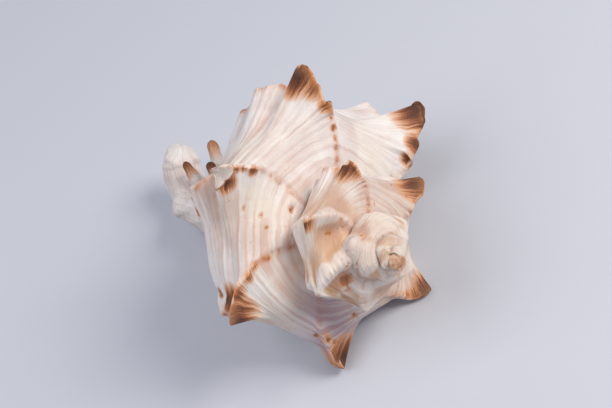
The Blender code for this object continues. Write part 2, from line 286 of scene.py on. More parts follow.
# %% Edges that run ahead or stay back
# Fan, station, stations wide, degrees ahead along the growth.
FAN_LEADS = (
    (0, 5.0, 0.7, -3.5), (2, 1.5, 1.5, -6.0), (3, 4.2, 1.6, 4.5), (9, 6.0, 9.0, -7.0),
    (1, 7.8, 1.3, 2.2), (0, 7.8, 1.3, 2.4), (2, 7.9, 1.1, 3.5), (2, 6.0, 1.2, 1.0),
    (3, 6.2, 1.1, 4.5), (5, 7.8, 1.5, 2.0), (5, 6.2, 1.0, 2.8), (6, 7.8, 1.5, 1.5),
    (6, 6.9, 0.8, 2.4), (7, 7.8, 1.5, 2.0),
)


def leads():
    """Degrees ahead: the bell of each entry, fading over the steps on both sides of its fan."""
    out = np.zeros((len(growth), len(section)))
    for fan, place, width, degrees in FAN_LEADS:
        older = np.where((next_fan == fan)[:, None], share, 0)
        newer = np.where((last_fan == fan)[:, None], 1 - share, 0)
        out += (older + newer) * degrees * bell(place, width)
    return out


turn = growth[:, None] + np.radians(lead + leads())
print("the wall spans", round(float(np.degrees(turn.max() - turn.min()))), "degrees of turn")

# %% [markdown]
# ## The worn spire
# Each turn of the spire sits high on the one before, and sand and age have rubbed it down. Some
# fans are left only as rounded ridges, and the first turns have closed over the axis. Each of
# these is one more offset that fades in towards the apex, so the spire stays one surface with
# the rest and needs no piece of its own.

# %% Filled ramps, ridges and the closed apex
# How far the ramp is filled up, so that it meets the older turn higher: station, millimetres.
SPIRE_FILL = ((0, 10.0), (1, 9.5), (2, 7.5), (3, 5.2), (4, 3.2), (5, 1.8), (6, 0.8), (8, 0.0),
              (24, 0.0), (26, 10.0))
SPIRE_START = 7.6
SPIRE_BLEND = 2.0
# How far the first turns close in over the axis, so that the apex is blunt: station, millimetres.
APEX_CLOSE = ((0, 10.0), (1, 9.0), (2, 6.0), (3, 3.0), (4, 1.0), (5, 0.0), (25, 0.0), (26, 10.0))
APEX_START = 16.0
APEX_BLEND = 3.0
# Rounded ridges that run down the ramp from a worn fan: fan, station, stations wide, millimetres up.
FAN_RIDGES = ((8, 3.5, 3.5, 3.2), (9, 3.5, 3.5, 4.2))
RIDGE_SHARE = 0.16


def eased(share):
    """A share from 0 to 1 that starts and ends gently: its square times three less twice itself."""
    return share * share * (3 - 2 * share)


def past_fan(start, width):
    """0 up to a fan, counted back from the newest edge, and 1 this many fans further back."""
    return np.clip((fans_back - start) / width, 0, 1)


def ridges_up():
    """Millimetres upwards: a bell over the stations times a bell over the fans, for each ridge."""
    out = np.zeros((len(growth), len(section)))
    for fan, place, width, height in FAN_RIDGES:
        out += height * np.exp(-((fans_back - fan) / RIDGE_SHARE) ** 2) * bell(place, width)
    return out


old_part = eased(past_fan(SPIRE_START, SPIRE_BLEND))
fill_up = old_part * np.interp(section, *np.array(SPIRE_FILL).T)
close_in = past_fan(APEX_START, APEX_BLEND) * np.interp(section, *np.array(APEX_CLOSE).T)
print("the spire is filled up by at most", round(float(fill_up.max()), 1), "mm")

# %% [markdown]
# ## Scalloped edges and hollow spines
# The lower part of each edge is scalloped, and each long spine is open in front like a gutter.
# Scallops of one size would look stamped, so they are a wave over the stations that smooth noise
# bends and fades. The gutter is a bell-shaped hollow just in front of the spine.

# %% Scallops and gutters
LATTICE = 64
SCALLOP_HEIGHT = 0.55
SCALLOPS_PER_STATION = 1.0
# First station, length of its slope, last station, length of its slope.
SCALLOP_RANGE = (9.5, 0.5, 20.0, 2.0)
SCALLOP_BEFORE = 0.3
SCALLOP_PAST = 0.06
SCALLOP_WAVER = 1.7
SCALLOP_UNEVEN = 0.6
SCOOP_DEPTH = 3.2
SCOOP_WIDTH = 0.8
SCOOP_PEAK = 0.05
SCOOP_LENGTH = 0.04


def noise_field(across, along, seed):
    """Smooth noise from -1 to 1: random values on a lattice, eased between its points."""
    lattice = np.random.default_rng(seed).uniform(-1, 1, (LATTICE, LATTICE))
    across, along = np.broadcast_arrays(across, along)
    x, y = np.floor(across).astype(int), np.floor(along).astype(int)
    u, v = eased(across - x), eased(along - y)
    left, right, low, high = x % LATTICE, (x + 1) % LATTICE, y % LATTICE, (y + 1) % LATTICE
    lower = lattice[left, low] * (1 - u) + lattice[right, low] * u
    upper = lattice[left, high] * (1 - u) + lattice[right, high] * u
    return lower * (1 - v) + upper * v


def clouds(wide, per_fan, seed):
    """Smooth noise over the wall: one cloud is so many stations wide, and so many fit in a fan's step."""
    return noise_field(section / wide, count[:, None] * per_fan, seed)


def station_range(first, first_slope, last, last_slope):
    """1 between two stations, with a slope of so many stations inside each end."""
    return np.clip((section - first) / first_slope, 0, 1) * np.clip((last - section) / last_slope, 0, 1)


near_edge = np.exp(-((1 - share) / SCALLOP_BEFORE) ** 2) + np.exp(-(share / SCALLOP_PAST) ** 2)
waver = SCALLOP_WAVER * noise_field(section / 3, 0.0, seed=3)
scallop_wave = np.abs(np.sin(np.pi * SCALLOPS_PER_STATION * section + waver)) - 0.5
scallops = (SCALLOP_HEIGHT * near_edge * scallop_wave * station_range(*SCALLOP_RANGE)
            * (1 + SCALLOP_UNEVEN * clouds(wide=1, per_fan=1, seed=4)))
scoop = (SCOOP_DEPTH * bell(SPINE_STATION, SCOOP_WIDTH)
         * np.exp(-((share - SCOOP_PEAK) / SCOOP_LENGTH) ** 2) * on_edge * last_strength * (1 - worn))
print("scallops up to", round(float(scallops.max()), 2), "mm, gutters", round(float(scoop.max()), 1),
      "mm deep")

# %% Radius and depth of every point
radius = (low_radius + broad_radius * broad + fine_radius * fine + lobe_out + scallops - scoop
          - close_in)
depth = low_depth + broad_depth * broad + fine_depth * fine + lobe_down - fill_up - ridges_up()
print("largest radius", round(radius.max(), 1), "mm")

# %% [markdown]
# ## The mouth
# At its newest edge the wall turns in and becomes the smooth lining of the hollow that the snail
# lived in. It could be cut with a Boolean, but a grid can simply go on: past the edge the rows
# step down the front of the last fan, roll over the lip and run back inside, ever narrower.
# The lining has the same columns as the wall, each at the same direction from the hollow's middle.

# %% Lip and lining
MOUTH = np.array((
    (17.5, 34.2), (24.5, 36.8), (26.8, 41.0), (26.4, 46.0), (24.6, 51.0), (21.0, 56.0),
    (16.0, 61.0), (11.5, 65.0), (8.6, 67.0), (7.0, 65.0), (7.2, 58.0), (7.6, 50.0),
    (8.8, 44.0), (11.5, 39.0), (15.0, 35.5),
))
MOUTH_CENTRE = np.array((16.5, 48.0))
MOUTH_POINTS = 150
# Degrees past the last fan and how much of its flare is left there.
LIP_ROWS = ((0.5, 1.0), (1.0, 0.99), (1.5, 0.95), (2.0, 0.86), (2.5, 0.7), (2.9, 0.5), (3.2, 0.3),
            (3.5, 0.1))
ROLL_ROWS = 5
LIP_END = 3.6
LIP_ROUND = 0.7
LIP_LEAST_RADIUS = 3.0
# Degrees past the last fan and the share of the full hollow.
LINING_ROWS = ((3.2, 1.02), (2.0, 1.0), (0.0, 0.99), (-4.0, 0.99), (-10.0, 0.99), (-18.0, 0.99),
               (-28.0, 0.985), (-40.0, 0.98), (-54.0, 0.965), (-70.0, 0.94), (-86.0, 0.9),
               (-102.0, 0.84), (-116.0, 0.75), (-128.0, 0.63), (-138.0, 0.49), (-145.0, 0.33),
               (-148.0, 0.16))


def mouth_ring():
    """The hollow's section, read at the direction of each column from the hollow's middle."""
    outline = smooth_loop(MOUTH, np.arange(MOUTH_POINTS) * len(MOUTH) / MOUTH_POINTS) - MOUTH_CENTRE
    angles = np.arctan2(outline[:, 1], outline[:, 0])
    order = np.argsort(angles)
    wall = np.arctan2(low_depth - MOUTH_CENTRE[1], low_radius - MOUTH_CENTRE[0])
    distance = np.interp(wall, angles[order], np.hypot(*outline.T)[order], period=2 * np.pi)
    return MOUTH_CENTRE[0] + distance * np.cos(wall), MOUTH_CENTRE[1] + distance * np.sin(wall)


def growth_and_share(rows):
    """The two columns of a list of rows: growth in radians, and a share."""
    rows = np.array(rows)
    return np.radians(rows[:, :1]), rows[:, 1:]


mouth_radius, mouth_depth = mouth_ring()
lip_growth, lip_share = growth_and_share(LIP_ROWS)
front_radius = low_radius + (radius[-1] - low_radius) * lip_share
front_depth = low_depth + (depth[-1] - low_depth) * lip_share
front_turn = lip_growth + np.radians(lead)

roll = np.linspace(0, 1, ROLL_ROWS + 1)[:, None]
roll_radius = low_radius + (mouth_radius - low_radius) * roll
roll_depth = low_depth + (mouth_depth - low_depth) * roll
roll_turn = (np.radians(LIP_END) + np.radians(lead) * (1 - roll)
             + LIP_ROUND * np.sin(np.pi * roll) / np.maximum(roll_radius, LIP_LEAST_RADIUS))

lining_growth, lining_share = growth_and_share(LINING_ROWS)
lining_radius = MOUTH_CENTRE[0] + (mouth_radius - MOUTH_CENTRE[0]) * lining_share
lining_depth = MOUTH_CENTRE[1] + (mouth_depth - MOUTH_CENTRE[1]) * lining_share
lining_turn = lining_growth + np.zeros(len(section))
print("lip", len(front_turn), "rows, roll", len(roll_turn), "rows, lining", len(lining_turn), "rows")

# %% [markdown]
# ## Cords and growth lines
# Low cords run along the growth and gather on the spines, and faint ribs cross them where the
# snail paused. Painted bump alone would leave the outline smooth, so the larger cords are real
# relief: every point moves along its own normal.

# %% The wall, its normals and its cords
CORDS_PER_STATION = 1.5
CORD_WAVER = 0.35
CORD_HEIGHT = 0.13
CORD_PLAIN_SHARE = 0.35
CORD_MEAN = 0.7
CORD_UNEVEN = 0.5
DENT_HEIGHT = 0.28
PAUSE_HEIGHT = 0.09


def grid_normals(grid):
    """Unit normals: the cross product of the steps along the columns and along the rows."""
    across = np.roll(grid, -1, axis=1) - np.roll(grid, 1, axis=1)
    along = np.gradient(grid, axis=0)
    normal = np.cross(across, along)
    return normal / np.maximum(np.linalg.norm(normal, axis=2), 1e-12)[:, :, None]


wall = coil(turn, radius, depth)
normals = grid_normals(wall)
outwards = wall - wall.mean(axis=1, keepdims=True)
if (normals * outwards).sum() < 0:
    normals = -normals
cord_place = section * CORDS_PER_STATION + CORD_WAVER * noise_field(section / 2, 0.0, seed=5)
cord_envelope = CORD_PLAIN_SHARE + (1 - CORD_PLAIN_SHARE) * np.clip(near_edge, 0, 1)
cord_strength = CORD_MEAN + CORD_UNEVEN * noise_field(cord_place, count[:, None] * 2, seed=6)
cords = CORD_HEIGHT * cord_envelope * np.cos(2 * np.pi * cord_place) * cord_strength
dents = DENT_HEIGHT * clouds(wide=1.7, per_fan=3.1, seed=7)
pauses = PAUSE_HEIGHT * clouds(wide=6, per_fan=17, seed=8)
outer = station_range(0, 0.5, outer_end, 1)
relief = (cords + dents + pauses) * outer
# The lip starts from the newest row, which takes the relief of the row before it.
relief[-1] = relief[-2]
print("relief from", round(relief.min(), 2), "to", round(relief.max(), 2), "mm")

# %% Cavities, lumps and beads
# Cavities and, below zero, single lumps: fan, station, millimetres wide, millimetres deep.
CAVITIES = (
    (9.45, 3.4, 2.2, 0.5), (8.4, 3.6, 3.5, 0.7), (2.26, 1.3, 1.6, 0.7), (13.9, 5.4, 2.6, 0.8),
    (14.3, 7.5, 5.5, -1.6), (8.0, 5.0, 4.0, -0.5), (9.0, 4.5, 4.5, -0.7), (2.05, 7.6, 3.0, 1.0),
    (2.7, 12.9, 11.0, -1.7),
)
CAVITY_POWER = 1.5
LUMP_HEIGHT = 0.3
LUMP_SIZE = 0.3
FINE_LUMP_SHARE = 0.6
BEAD_HEIGHT = 0.45
BEAD_WIDTH = 0.9
BEAD_WAVER = 2.5
BEAD_BEFORE = 0.03
BEAD_PAST = 0.02
BEAD_RANGE = (0.5, 1.0, 7.5, 2.0)


def row_and_column(fan, station):
    """The point of the wall nearest to a place given by fan and station."""
    return np.argmin(np.abs(count + fan)), np.argmin(np.abs(section - station))


def near_place(grid, fan, station, reach):
    """1 at one place of the grid, falling to 0 at this many millimetres: one less distance squared."""
    away = np.linalg.norm(grid - grid[row_and_column(fan, station)], axis=2)
    return np.clip(1 - (away / (MM * reach)) ** 2, 0, 1)


local_size = np.exp(GROWTH_PER_RADIAN * turn)
cavities = sum(deep * near_place(wall, fan, station, wide) ** CAVITY_POWER
               for fan, station, wide, deep in CAVITIES)
lump_clouds = (clouds(wide=2.6, per_fan=2.3, seed=9)
               + FINE_LUMP_SHARE * clouds(wide=1.1, per_fan=5.1, seed=10))
lumps = LUMP_HEIGHT * np.clip(local_size / LUMP_SIZE, 0, 1) * old_part * outer * lump_clouds
bead_wave = np.sin(2 * np.pi * section / BEAD_WIDTH + BEAD_WAVER * clouds(wide=1.5, per_fan=1, seed=13))
bead_row = np.exp(-((1 - share) / BEAD_BEFORE) ** 2) + np.exp(-(share / BEAD_PAST) ** 2)
beads = BEAD_HEIGHT * np.clip(bead_wave, 0, 1) * bead_row * station_range(*BEAD_RANGE)
wall = wall + normals * (MM * (local_size * (relief + beads) + lumps - cavities))[:, :, None]
print("lumps up to", round(lumps.max(), 2), "mm, beads up to", round(beads.max(), 2), "mm")

# %% [markdown]
# ## Hollows and crests
# Hollows hold dirt and old stain and are painted darker as shade too, and crests are rubbed
# white. How far a point lies below the mean of its surroundings tells the two apart, and the paint
# reads it later. The seam where two turns meet holds dirt and gets painted shade too, so the
# distance to the neighbouring turns is measured as well.

# %% Hollow or crest
HOLLOW_SPANS = ((2, 5), (4, 11))
HOLLOW_DEPTH = 0.5


def hollow_share(grid):
    """Millimetres that each point lies below the mean of its neighbours at two distances."""
    low = np.zeros(grid.shape[:2])
    for rows, columns in HOLLOW_SPANS:
        ahead = grid[np.clip(np.arange(len(grid)) + rows, 0, len(grid) - 1)]
        behind = grid[np.clip(np.arange(len(grid)) - rows, 0, len(grid) - 1)]
        around = (ahead + behind + np.roll(grid, columns, axis=1) + np.roll(grid, -columns, axis=1)) / 4
        low += ((around - grid) * normals).sum(axis=2) / MM
    return low


hollow = np.clip(hollow_share(wall) / HOLLOW_DEPTH, -1, 1)
print("hollows cover", round(float((hollow > 0.5).mean()) * 100), "% of the wall")

# %% Distance to the neighbouring turns
SEAM_SKIP = 3
NO_NEIGHBOUR = 99.0


def distance_to_turn(shift):
    """Millimetres from each point to the section of the turn before or after it, cut at the same angle."""
    profile = np.stack([np.hypot(wall[..., 0], wall[..., 1]), wall[..., 2]], -1) / MM
    place = np.interp(growth + shift, growth, np.arange(len(growth)))
    row = np.clip(place.astype(int), 0, len(growth) - 2)
    part = (place - row)[:, None, None]
    other = (profile[row] * (1 - part) + profile[row + 1] * part)[:, :outer_end * OUTER_COLUMNS:SEAM_SKIP]
    gap = profile[:, :, None].astype(np.float32) - other[:, None].astype(np.float32)
    nearest = np.sqrt((gap ** 2).sum(axis=3).min(axis=2))
    missing = (growth + shift > 0) | (growth + shift < growth[0])
    return np.where(missing[:, None], NO_NEIGHBOUR, nearest)


to_seam = np.minimum(distance_to_turn(-2 * np.pi), distance_to_turn(2 * np.pi))
print("nearest points of neighbouring turns are", round(float(to_seam.min()), 2), "mm apart")

# %% [markdown]
# ## One closed grid
# The wall, the front of the last fan, the rolled lip and the lining are stacked into one grid.
# Its rings close on themselves, and a fan of triangles closes each end, so the mesh has no hole
# and no seam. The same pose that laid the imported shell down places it, and what would reach
# below the floor is worn flat.

# %% Pose and mesh
SPIN = 213.5
AXIS_RISE = 18.0
HEADING = 298.0
APEX_PLACE = Vector((10.19, -42.47, 27.71)) * MM
POSE = (Matrix.Translation(APEX_PLACE) @ Matrix.Rotation(np.radians(HEADING), 4, "Z")
        @ Matrix.Rotation(np.radians(90.0 - AXIS_RISE), 4, "Y") @ Matrix.Rotation(np.radians(SPIN), 4, "Z"))


def laid_down(points):
    """Points in the shell's own frame, turned and moved to how it lies, flat where it rests."""
    pose = np.array(POSE)
    placed = points @ pose[:3, :3].T + pose[:3, 3]
    placed[:, 2] = np.maximum(placed[:, 2], 0.0)
    return placed


def grid_object(name, grid, marks, u, v):
    """Closed mesh from a grid of rings, with a map of u round the ring and v along the rows.

    The pyramids from the origin to the quads, each with its sign, add up to nearly the volume.
    Where the sum is below zero the faces look inwards, so their corners are taken backwards.
    """
    rows, columns, _ = grid.shape
    index = np.arange(rows * columns).reshape(rows, columns)
    beside = np.roll(index, -1, axis=1)
    quads = np.stack([index[:-1], beside[:-1], beside[1:], index[1:]], -1).reshape(-1, 4)
    first = np.stack([index[0], np.full(columns, rows * columns), beside[0]], -1)
    last = np.stack([beside[-1], np.full(columns, rows * columns + 1), index[-1]], -1)
    poles = [grid[0].mean(axis=0)], [grid[-1].mean(axis=0)]
    points = laid_down(np.concatenate([grid.reshape(-1, 3), *poles]))
    corner = [points[quads[:, number]] for number in range(4)]
    volume = (np.cross(corner[0], corner[1]) * corner[2]
              + np.cross(corner[0], corner[2]) * corner[3]).sum() / 6
    if volume < 0:
        quads, first, last = quads[:, ::-1], first[:, ::-1], last[:, ::-1]
    mesh = bpy.data.meshes.new(name)
    mesh.from_pydata(points, [], quads.tolist() + first.tolist() + last.tolist())
    mesh.update()
    piece = bpy.data.objects.new(name, mesh)
    bpy.context.scene.collection.objects.link(piece)
    for label, values in marks.items():
        values = np.broadcast_to(values, (rows, columns))
        flat = np.concatenate([values.ravel(), [values[0].mean()], [values[-1].mean()]])
        mesh.attributes.new(label, "FLOAT", "POINT").data.foreach_set("value", flat.astype(np.float32))
    corners = np.zeros(len(mesh.loops), np.int32)
    mesh.loops.foreach_get("vertex_index", corners)
    row, column = np.divmod(np.minimum(corners, rows * columns - 1), columns)
    wrap = np.zeros(len(corners), bool)
    quad_corners = len(quads) * 4
    wrap[:quad_corners] = (np.tile([0, 1, 1, 0], len(quads)) == 1) & (column[:quad_corners] == 0)
    places = np.stack([np.where(wrap, 1.0, np.append(u, 1.0)[column]), v[row]], -1)
    mesh.uv_layers.new(name="UVMap").data.foreach_set("uv", places.astype(np.float32).ravel())
    mesh.shade_smooth()
    mesh.materials.append(murex_chalk)
    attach(piece, "root")
    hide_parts(NODE)
    print(name, "has", 2 * len(quads) + 2 * columns, "triangles")


front = coil(front_turn, front_radius, front_depth)
rolled_lip = coil(roll_turn, roll_radius, roll_depth)
lining = coil(lining_turn, lining_radius, lining_depth)
whole = np.concatenate([wall, front, rolled_lip, lining])
print("grid of", whole.shape[0], "by", whole.shape[1])

# %% [markdown]
# ## Painting with nodes
# A material could be wired by hand, node by node, but its sums are then hard to read. Here it is
# written as one would write it on paper. A small class wraps the output of a node and turns every
# sum, difference or product into the Math node that does it, or into a Vector Math node where a
# place is in it. Colours are blended by a Mix node.

# %% Values inside a material
class Value:
    """One output of a node in a material; sums and products of it are new nodes."""

    def __init__(self, tree, socket=None):
        self.tree = tree
        self.socket = socket

    def node(self, kind, inputs=(), output=0, **settings):
        """A new node of this kind with its settings, and its inputs by name or number."""
        made = self.tree.nodes.new(kind)
        for name, setting in settings.items():
            setattr(made, name, setting)
        for name, value in dict(inputs).items():
            if isinstance(value, Value):
                self.tree.links.new(value.socket, made.inputs[name])
            else:
                made.inputs[name].default_value = value
        return Value(self.tree, made.outputs[output])

    def join(self, operation, other):
        """This value and another in a Math node, or in a Vector Math node where one is a vector."""
        values = (self, other)
        single = all(not isinstance(value, Value) or value.socket.type == "VALUE" for value in values)
        kind = "ShaderNodeMath" if single else "ShaderNodeVectorMath"
        if not single:
            values = [value if isinstance(value, Value) else (value,) * 3 for value in values]
        return self.node(kind, enumerate(values), operation=operation)

    def __add__(self, other):
        return self.join("ADD", other)

    def __radd__(self, other):
        return self.join("ADD", other)

    def __sub__(self, other):
        return self.join("SUBTRACT", other)

    def __rsub__(self, other):
        number = self.node("ShaderNodeValue")
        number.socket.default_value = other
        return number.join("SUBTRACT", self)

    def __mul__(self, other):
        return self.join("MULTIPLY", other)

    def __rmul__(self, other):
        return self.join("MULTIPLY", other)


def between(value, low, high):
    """0 below the low end, 1 above the high end, eased between them."""
    return value.node("ShaderNodeMapRange", {0: value, 1: low, 2: high}, interpolation_type="SMOOTHSTEP")


def blend(share, first, second):
    """Mix of two colours."""
    return share.node("ShaderNodeMix", {0: share, 6: first, 7: second}, output=2, data_type="RGBA")


def noise(place, scale, detail=2.0, roughness=0.5):
    """Cloudy values from 0 to 1."""
    inputs = {"Vector": place, "Scale": scale, "Detail": detail, "Roughness": roughness}
    return place.node("ShaderNodeTexNoise", inputs)


def lines(across, along, detail=2.0, roughness=0.5):
    """The same clouds over a map whose two directions are stretched, so that they become lines."""
    return noise(across.node("ShaderNodeCombineXYZ", {0: across, 1: along}), 1.0, detail, roughness)


def colour(red, green, blue):
    """A colour as a paint chart gives it, 0 to 255, as the light it throws back."""
    shares = np.array((red, green, blue)) / 255
    light = np.where(shares < 0.04045, shares / 12.92, ((shares + 0.055) / 1.055) ** 2.4)
    return (*(float(share) for share in light), 1.0)


print("a mid grey of 128 throws back", round(colour(128, 128, 128)[0], 3), "of the light")

# %% [markdown]
# ## Shell paint
# The shell is chalk white with a warm tint where it is old. Thin pinkish lines follow the cords,
# fainter ones mark where growth paused. Round the tips a stain runs back in streaks, from orange
# through tan to a dark brown, and an orange rim on the edges breaks up into dots. The lining of
# the mouth is glossy and a little pink. A picture laid over the shell would cover one side only,
# so each finish is a layer of its own. All layers read the same few marks on the mesh and the same
# noise, in clouds or drawn out to lines that follow the growth.

# %% Colours
CHALK = colour(246, 240, 236)
CREAM = colour(246, 232, 210)
AGED_CREAM = colour(226, 188, 162)
OLD_CHALK = colour(214, 169, 126)
# Tan of the hollows: dirt and painted shade.
HOLLOW_DIRT_AND_SHADE_TAN = colour(194, 139, 98)
DUSTY_LILAC = colour(208, 186, 184)
# Painted shade, with a lilac cast.
PAINTED_SHADE_LILAC = colour(180, 152, 164)
CORD_PINK = colour(202, 162, 143)
PAUSE_TAN = colour(206, 176, 156)
STAIN_ORANGE = colour(222, 160, 112)
STAIN_TAN = colour(176, 110, 68)
STAIN_BROWN = colour(112, 60, 30)
STAIN_DARK = colour(66, 32, 14)
RIM_ORANGE = colour(190, 116, 62)
# Brown of the seams: dirt and painted shade.
SEAM_DIRT_AND_SHADE_BROWN = colour(160, 112, 88)
PIT_BROWN = colour(112, 74, 48)
OPEN_CHALK = colour(240, 226, 214)
LINING_CREAM = colour(248, 232, 222)
LINING_PINK = colour(236, 196, 178)
print("chalk throws back", round(CHALK[1], 2), "of green light, the darkest stain", round(STAIN_DARK[1], 3))


# %% Marks, clouds and lines
# What the mesh tells the paint at each point, with the value where a piece has nothing to tell.
PLAIN_MARKS = {"brown": 0.0, "stain": 0.0, "seam": 0.0, "edge": 3.0, "rim": 0.0, "hollow": 0.0,
               "lilac": 0.0, "broken": 0.0, "age": 0.0, "inside": 0.0}


class Skin:
    """What every layer of the paint reads: the marks, clouds in space, and lines along the map."""

    def __init__(self, tree):
        start = Value(tree)
        for name in PLAIN_MARKS:
            setattr(self, name, start.node("ShaderNodeAttribute", output=2, attribute_name=name))
        place = start.node("ShaderNodeTexCoord", output=3) * (1 / MM)
        growth_map = start.node("ShaderNodeUVMap", uv_map="UVMap")
        station = start.node("ShaderNodeSeparateXYZ", {0: growth_map}, output=0) * float(len(stations))
        turns = start.node("ShaderNodeSeparateXYZ", {0: growth_map}, output=1)
        self.patch = noise(place, scale=0.09, detail=3.0)
        self.waver = noise(place, scale=0.25)
        self.cream = noise(place, scale=0.05)
        self.speckle = noise(place, scale=1.3, detail=3.0, roughness=0.6)
        self.grain = noise(place, scale=3.5, detail=4.0, roughness=0.6)
        bend = station + (self.waver - 0.5) * 0.5
        self.cord_line = lines(bend * 2.1, turns * 1.6, detail=3.0, roughness=0.6)
        self.fine_line = lines(bend * 9.0, turns * 7.0, roughness=0.6)
        self.pause_line = lines(station * 0.5, turns * 46.0 + self.waver * 1.2, detail=4.0, roughness=0.65)
        self.dots = lines(station * 1.9, turns * 9.0)
        self.old = between(self.age + (self.patch - 0.5) * 0.2, 0.18, 0.36)
        streak = (self.fine_line - 0.5) * 1.1 + (self.cord_line - 0.5) * 0.7 + (self.grain - 0.5) * 0.2
        self.streaked_brown = self.brown + streak * between(self.brown, 0.0, 0.45)
        self.ragged_stain = self.stain + (self.speckle - 0.5) * 1.3 * between(self.stain, 0.0, 0.3)
        cells = start.node("ShaderNodeTexVoronoi", {"Vector": place + (self.grain * 0.6), "Scale": 0.55})
        worn_share = 0.25 + 0.75 * between(self.age, 0.18, 0.3)
        pitted = between(self.patch, 0.53, 0.66) * worn_share * (1 - self.inside)
        self.pits = (1 - between(cells, 0.07, 0.2)) * pitted


print("every mesh carries", len(PLAIN_MARKS), "marks")

# %% [markdown]
# ## Chalk, cords and pauses
# New chalk is white to cream. With age it turns tan, most of all in the hollows, where dirt stays
# and painted shade darkens it, and the cords and pauses are pinker than the ground between them. A
# ramp over age alone would give even bands, so noise breaks the steps from one tone to the next.

# %% Chalk layer
def chalk_layer(skin):
    """White to cream chalk, tan where it is old and in hollows, under pinkish cords and pauses."""
    # Hollows are warmer and darker, for dirt and as painted shade.
    warm = between(skin.hollow + (skin.waver - 0.5) * 2.2 + (skin.patch - 0.5) * 1.2, -0.6, 0.6)
    paint = blend(between(skin.cream, 0.45, 0.65) * 0.5, CHALK, CREAM)
    paint = blend(skin.old * (0.2 + 0.75 * warm), paint, OLD_CHALK)
    # Hollows turn tan with dirt and with painted shade.
    deep = between(skin.hollow + (skin.patch - 0.5) * 1.5, 0.35, 1.1)
    paint = blend(skin.old * deep * 0.8, paint, HOLLOW_DIRT_AND_SHADE_TAN)
    paint = blend(between(skin.patch, 0.4, 0.7) * 0.45, paint, DUSTY_LILAC)
    mature = between(skin.age, 0.045, 0.085) * (1 - skin.old) * between(skin.cord_line, 0.3, 0.6)
    paint = blend(mature * between(skin.patch, 0.3, 0.62) * 0.4, paint, AGED_CREAM)
    # Painted lilac shade over one part of the last whorl.
    painted_shade_share = skin.lilac * (0.55 + 0.45 * between(skin.cord_line, 0.35, 0.6))
    paint = blend(painted_shade_share, paint, PAINTED_SHADE_LILAC)
    cord_strength = (0.15 + 0.55 * between(skin.patch, 0.3, 0.7)) * (1 - skin.old * 0.5)
    paint = blend(between(skin.cord_line, 0.42, 0.72) * cord_strength, paint, CORD_PINK)
    paint = blend(between(skin.fine_line, 0.5, 0.8) * 0.2, paint, CORD_PINK)
    return blend(between(skin.pause_line, 0.56, 0.74) * 0.22, paint, PAUSE_TAN)


print("chalk layer ready")

# %% [markdown]
# ## Stained tips, rims, dirt and painted seam shade
# The brown follows the cords, so it runs back from each tip in streaks. They could be painted one
# by one, but the lines that colour the cords can bend the edge of the stain as well, and each
# darker tone starts further up the same value. Broken tips, rims, seams and single stains work
# alike: a mark on the mesh, roughened by noise, chooses the colour. Pits come from noise alone.

# %% Layers over the chalk
def tip_layer(skin, paint):
    """Streaks that run back from the tips, from orange through tan and brown to nearly black."""
    paint = blend(between(skin.streaked_brown, 0.04, 0.3) * 0.85, paint, STAIN_ORANGE)
    paint = blend(between(skin.streaked_brown, 0.25, 0.5), paint, STAIN_TAN)
    paint = blend(between(skin.streaked_brown, 0.42, 0.7), paint, STAIN_BROWN)
    dark = between(skin.streaked_brown + (skin.grain - 0.5) * 0.4, 0.68, 1.0)
    return blend(dark, paint, STAIN_DARK)


def broken_layer(skin, paint):
    """Open white chalk inside a tan border, where a tip has broken off."""
    chip = skin.broken + (skin.speckle - 0.5) * 0.5 * between(skin.broken, 0.0, 0.2)
    paint = blend(between(chip, 0.12, 0.3) * 0.8, paint, STAIN_TAN)
    return blend(between(chip, 0.3, 0.42), paint, OPEN_CHALK)


def rim_layer(skin, paint):
    """A faint orange band beside the edges of the fans, and orange dots on the edges."""
    dots = between(skin.dots + (skin.grain - 0.5) * 0.25, 0.42, 0.6)
    rim = (1 - between(skin.edge + (skin.grain - 0.5) * 1.2, 0.0, 1.1)) * dots * (1 - skin.inside)
    band = (1 - between(skin.edge + (skin.grain - 0.5) * 1.5, 0.2, 1.8)) * between(skin.patch, 0.3, 0.6)
    paint = blend(band * skin.rim * 0.35, paint, STAIN_ORANGE)
    return blend(rim * skin.rim * (0.5 + 0.5 * between(skin.grain, 0.35, 0.6)), paint, RIM_ORANGE)


def dirt_and_shade_layer(skin, paint):
    """Brown in the seams as dirt and painted shade, single stains with a ragged outline, and pits."""
    # The seams between turns get brown for dirt and for painted shade.
    seam = skin.seam + (skin.grain - 0.5) * 0.5 + (skin.patch - 0.5) * 0.4
    paint = blend(between(seam, 0.35, 0.95) * 0.55, paint, SEAM_DIRT_AND_SHADE_BROWN)
    paint = blend(between(skin.ragged_stain, 0.2, 0.75) * 0.7, paint, STAIN_ORANGE)
    paint = blend(between(skin.ragged_stain, 0.5, 0.95) * 0.8, paint, STAIN_TAN)
    paint = blend(between(skin.ragged_stain, 0.9, 1.3) * 0.8, paint, STAIN_BROWN)
    return blend(skin.pits * 0.55, paint, PIT_BROWN)


LAYERS = (tip_layer, broken_layer, rim_layer, dirt_and_shade_layer)
print(len(LAYERS), "layers over the chalk")

# %% [markdown]
# ## The finished material
# The outside of the shell is dull, and the lining of the mouth is glazed, which a clear coat
# gives. A little light enters the chalk and comes out again close by. The finest cords, lines and
# pits are too small for the mesh, so they are bump.

# %% Shell material
# Millimetres: height of the bump, and how far light travels inside the chalk.
BUMP_HEIGHT = 0.45
GLOW_DEPTH = 1.2


